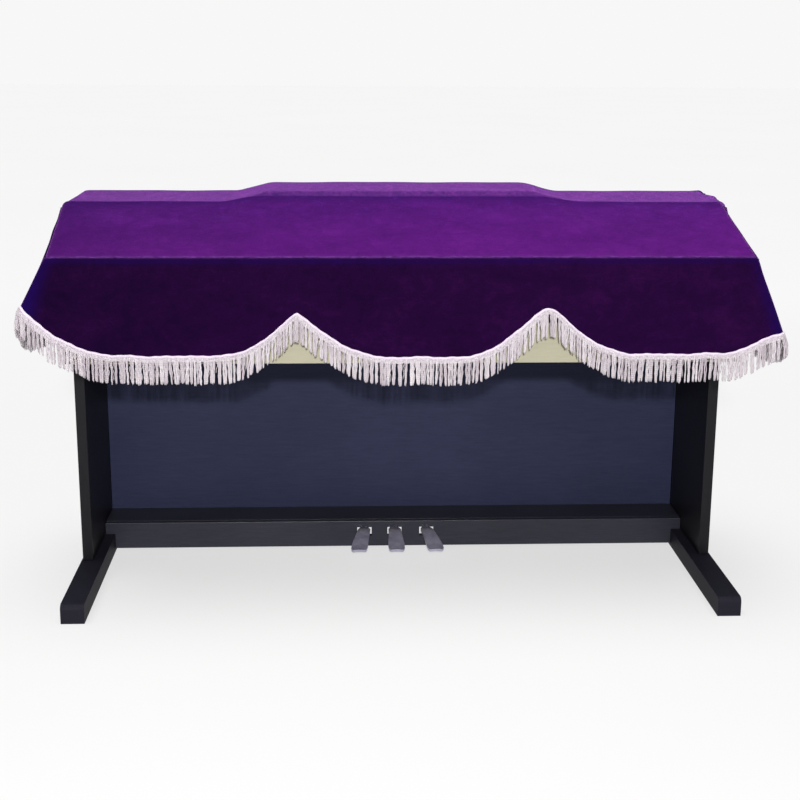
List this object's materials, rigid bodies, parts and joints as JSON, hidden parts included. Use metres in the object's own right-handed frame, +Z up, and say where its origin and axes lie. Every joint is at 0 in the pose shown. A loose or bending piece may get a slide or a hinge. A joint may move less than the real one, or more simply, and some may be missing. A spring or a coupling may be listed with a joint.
{
  "type": "piano cover on digital piano",
  "caption": "Fringed velvet cover with a scalloped front hem, draped over a plain digital piano on its stand with pedals.",
  "frame": {"origin": "centre of the bounding box's bottom: on the floor, under the middle of the covered piano", "axes": "+X to the player's right along the keyboard, +Y away from the player towards the back, +Z up"},
  "size_m": [1.5112, 0.555, 0.8331],
  "materials": {
    "velvet": "deep violet cut-pile velvet with a violet sheen",
    "velvet_end": "deep violet cut-pile velvet with a violet sheen",
    "fringe": "off-white bullion fringe with a faint pink cast",
    "cabinet": "near-black satin lacquered board with a faint grain",
    "navy_panel": "dark navy matt lacquered board",
    "pale_board": "pale greenish-beige raw board",
    "pedal_metal": "worn satin metal",
    "hardware_metal": "zinc-plated steel"
  },
  "bodies": {
    "root": {"cover_main": "velvet", "cover_end_left": "velvet_end", "cover_end_right": "velvet_end", "cover_fringe": "fringe", "case": "cabinet", "music_rest": "cabinet", "key_bed": "pale_board", "side_left": "cabinet", "side_right": "cabinet", "foot_left": "cabinet", "foot_right": "cabinet", "back_panel": "navy_panel", "rail_front": "cabinet", "rail_top": "cabinet", "pedal_rod": "hardware_metal", "hanger_left": "hardware_metal", "hanger_right": "hardware_metal"},
    "pedal_left": {"pedal_left": "pedal_metal"},
    "pedal_middle": {"pedal_middle": "pedal_metal"},
    "pedal_right": {"pedal_right": "pedal_metal"}
  },
  "joints": [
    {"name": "pedal_left_press", "type": "hinge", "parent": "root", "child": "pedal_left", "pos_m": [-0.0719, 0.1925, 0.0395], "axis": [1, 0, 0], "range_deg": [0, 6], "stiffness_Nm_per_rad": 20, "springref_deg": -8.59},
    {"name": "pedal_middle_press", "type": "hinge", "parent": "root", "child": "pedal_middle", "pos_m": [-0.0029, 0.1925, 0.0395], "axis": [1, 0, 0], "range_deg": [0, 6], "stiffness_Nm_per_rad": 20, "springref_deg": -8.59},
    {"name": "pedal_right_press", "type": "hinge", "parent": "root", "child": "pedal_right", "pos_m": [0.0701, 0.1925, 0.0395], "axis": [1, 0, 0], "range_deg": [0, 6], "stiffness_Nm_per_rad": 20, "springref_deg": -8.59}
  ]
}
